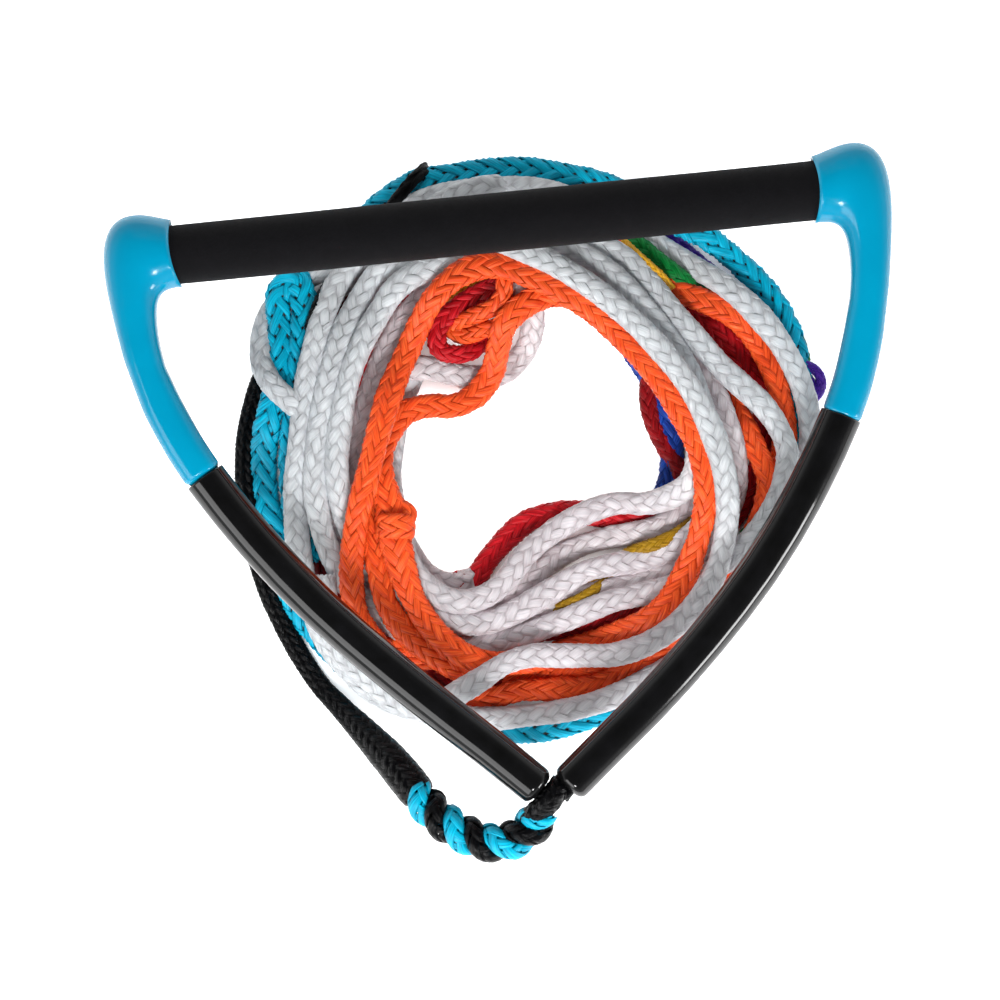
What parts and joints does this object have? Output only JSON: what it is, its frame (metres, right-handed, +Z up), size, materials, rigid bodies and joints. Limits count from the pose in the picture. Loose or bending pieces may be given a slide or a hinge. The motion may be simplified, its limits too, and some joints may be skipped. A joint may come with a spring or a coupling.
{
  "type": "tow rope handle",
  "caption": "Tow handle with a gripped bar, moulded end caps and a sleeved V bridle, its bound lead running to a coil of braided tow line.",
  "frame": {"origin": "on the floor under the coil, directly below the middle of the bar", "axes": "+X along the bar, +Y away from the throat of the bridle, +Z up from the floor"},
  "size_m": [0.3962, 0.3519, 0.074],
  "materials": {
    "bar_aluminium": "satin anodised tube",
    "grip_suede": "matt suede-like grip",
    "cap_cyan": "gloss moulded",
    "sleeve_black": "gloss tube",
    "plug_foam": "closed-cell foam",
    "rope_black": "glossy braid",
    "rope_cyan": "glossy braid",
    "rope_white": "glossy braid",
    "rope_orange": "glossy braid",
    "rope_red": "glossy braid",
    "rope_yellow": "glossy braid",
    "rope_green": "glossy braid",
    "rope_blue": "glossy braid",
    "rope_violet": "glossy braid"
  },
  "bodies": {
    "handle": {"bar_tube": "bar_aluminium", "bar_grip": "grip_suede", "left_end_cap": "cap_cyan", "left_arm_sleeve": "sleeve_black", "left_bridle_leg": "rope_black", "left_anchor_knot": "rope_black", "left_bar_plug": "plug_foam", "right_end_cap": "cap_cyan", "right_arm_sleeve": "sleeve_black", "right_bridle_leg": "rope_black", "right_anchor_knot": "rope_black", "right_bar_plug": "plug_foam"},
    "throat": {"throat_knot": "rope_black"},
    "lead_head": {"lead_wrap_1": "rope_cyan", "lead_splice": "rope_black", "lead_wrap_2": "rope_cyan", "lead_neck": "rope_black", "lead_wrap_3": "rope_cyan"},
    "coil": {"lead_body": "rope_black", "lead_tail": "rope_black", "hitch": "rope_black", "line_cyan": "rope_cyan", "line_cyan_bight": "rope_cyan", "line_violet": "rope_violet", "line_green": "rope_green", "line_orange_inner": "rope_orange", "line_red": "rope_red", "line_yellow": "rope_yellow", "line_blue": "rope_blue", "line_dark_red": "rope_red", "line_white_tail": "rope_white", "line_orange_outer": "rope_orange", "line_orange_right": "rope_orange", "line_white_1": "rope_white", "line_white_2": "rope_white", "line_white_3": "rope_white", "line_white_4": "rope_white", "line_white_5": "rope_white", "line_white_6": "rope_white", "line_red_loop": "rope_red", "line_white_loop": "rope_white", "line_orange_mid": "rope_orange", "line_orange_loop": "rope_orange", "orange_knot": "rope_orange", "line_orange_top": "rope_orange", "line_white_top": "rope_white"}
  },
  "joints": [
    {"name": "throat_drop", "type": "hinge", "parent": "handle", "child": "throat", "pos_m": [-0.002, -0.295, 0.057], "axis": [1, 0, 0], "range_deg": [-100, 0]},
    {"name": "throat_swing", "type": "hinge", "parent": "throat", "child": "lead_head", "pos_m": [-0.002, -0.295, 0.057], "axis": [0, 0, 1], "range_deg": [-8, 30]},
    {"name": "lead_bend", "type": "hinge", "parent": "lead_head", "child": "coil", "pos_m": [-0.0623, -0.29028, 0.03769], "axis": [0, 0, 1], "range_deg": [-30, 5]}
  ]
}
